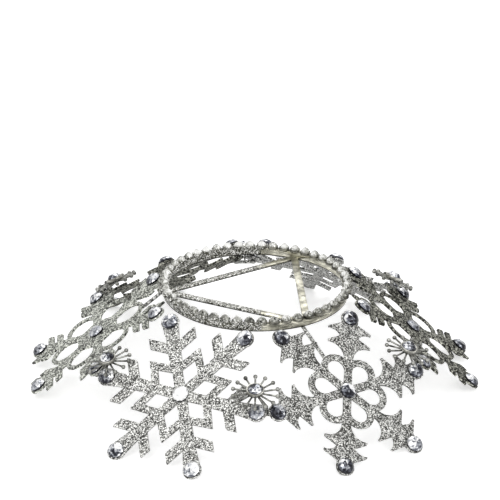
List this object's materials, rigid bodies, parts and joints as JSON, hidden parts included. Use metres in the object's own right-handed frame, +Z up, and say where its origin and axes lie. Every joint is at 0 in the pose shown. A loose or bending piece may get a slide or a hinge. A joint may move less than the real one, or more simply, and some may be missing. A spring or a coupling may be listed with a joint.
{
  "type": "candle ring",
  "caption": "Snowflake candle ring: glittered flat snowflakes lean out from a stone-set metal ring that frames a pillar candle.",
  "frame": {"origin": "on the surface it stands on, under the ring's axis", "axes": "+Z up along the ring's axis, -Y to the front between the two front snowflakes"},
  "size_m": [0.1841, 0.1766, 0.0441],
  "materials": {
    "silver_glitter": "coarse silver glitter over cut sheet metal and wire",
    "champagne_metal": "pale champagne metal, part glittered",
    "bright_metal": "bright silver cup setting",
    "dark_silver": "dull dark silver wire and beads",
    "clear_stone": "clear faceted acrylic stone with a silvered back"
  },
  "bodies": {
    "root": {"ring_band": "champagne_metal", "stone_chain": "bright_metal", "chain_stones": "clear_stone", "rest_bar_front_left": "champagne_metal", "rest_bar_right": "champagne_metal", "rest_bar_back": "champagne_metal", "snowflake_left": "silver_glitter", "snowflake_front_left": "silver_glitter", "snowflake_front_right": "silver_glitter", "snowflake_right": "silver_glitter", "snowflake_back_right": "silver_glitter", "snowflake_back_left": "silver_glitter", "tip_gems_left": "clear_stone", "tip_gems_front_left": "clear_stone", "tip_gems_front_right": "clear_stone", "tip_gems_right": "clear_stone", "tip_gems_back_right": "clear_stone", "tip_gems_back_left": "clear_stone", "centre_gem_left": "clear_stone", "centre_gem_front_left": "clear_stone", "centre_gem_front_right": "clear_stone", "centre_gem_right": "clear_stone", "centre_gem_back_right": "clear_stone", "centre_gem_back_left": "clear_stone", "strut_left": "silver_glitter", "strut_front_right": "silver_glitter", "strut_back_right": "silver_glitter", "joining_rod_front_left": "silver_glitter", "joining_rod_front": "silver_glitter", "joining_rod_front_right": "silver_glitter", "joining_rod_back_right": "silver_glitter", "joining_rod_back": "silver_glitter", "joining_rod_back_left": "silver_glitter", "burst_rays_front_left": "dark_silver", "burst_rays_front": "dark_silver", "burst_rays_front_right": "dark_silver", "burst_rays_back_right": "dark_silver", "burst_rays_back": "dark_silver", "burst_rays_back_left": "dark_silver", "burst_cup_front_left": "bright_metal", "burst_cup_front": "bright_metal", "burst_cup_front_right": "bright_metal", "burst_cup_back_right": "bright_metal", "burst_cup_back": "bright_metal", "burst_cup_back_left": "bright_metal", "burst_gem_front_left": "clear_stone", "burst_gem_front": "clear_stone", "burst_gem_front_right": "clear_stone", "burst_gem_back_right": "clear_stone", "burst_gem_back": "clear_stone", "burst_gem_back_left": "clear_stone"}
  },
  "joints": []
}
